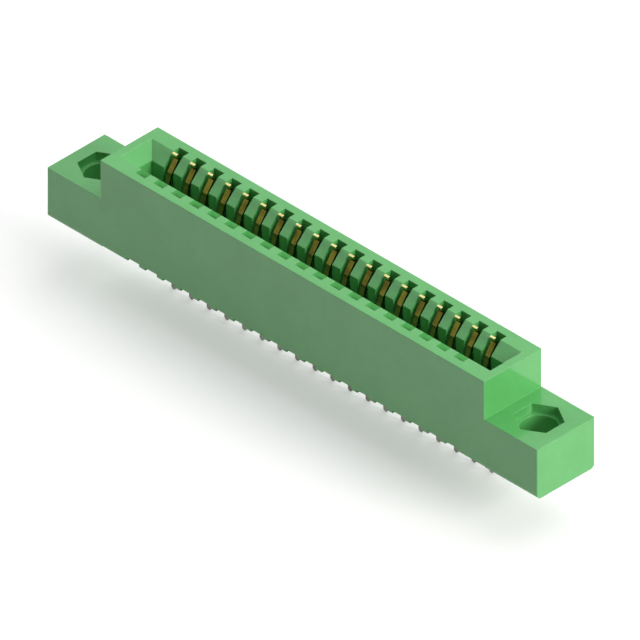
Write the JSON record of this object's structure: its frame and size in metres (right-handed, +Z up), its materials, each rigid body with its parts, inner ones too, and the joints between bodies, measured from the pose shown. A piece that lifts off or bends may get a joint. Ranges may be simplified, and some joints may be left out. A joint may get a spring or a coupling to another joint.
{
  "type": "card edge connector",
  "caption": "Green moulded card edge connector with a long slot, a row of gold spring contacts with solder tails on one side, and a drilled lug at each end.",
  "frame": {"origin": "middle of the seating plane, on the line between the two mounting holes", "axes": "+X along the card slot towards one lug, +Y across the slot towards the row of contacts, +Z up out of the slot's mouth"},
  "size_m": [0.0706, 0.0082, 0.0169],
  "materials": {
    "insulator_moulding": "satin, fine-grained glass-filled thermoplastic, light green",
    "contact_strip": "gold flash over nickel on copper alloy spring strip"
  },
  "bodies": {
    "root": {"insulator": "insulator_moulding", "contact_01": "contact_strip", "contact_02": "contact_strip", "contact_03": "contact_strip", "contact_04": "contact_strip", "contact_05": "contact_strip", "contact_06": "contact_strip", "contact_07": "contact_strip", "contact_08": "contact_strip", "contact_09": "contact_strip", "contact_10": "contact_strip", "contact_11": "contact_strip", "contact_12": "contact_strip", "contact_13": "contact_strip", "contact_14": "contact_strip", "contact_15": "contact_strip", "contact_16": "contact_strip", "contact_17": "contact_strip", "contact_18": "contact_strip", "contact_19": "contact_strip"}
  },
  "joints": []
}
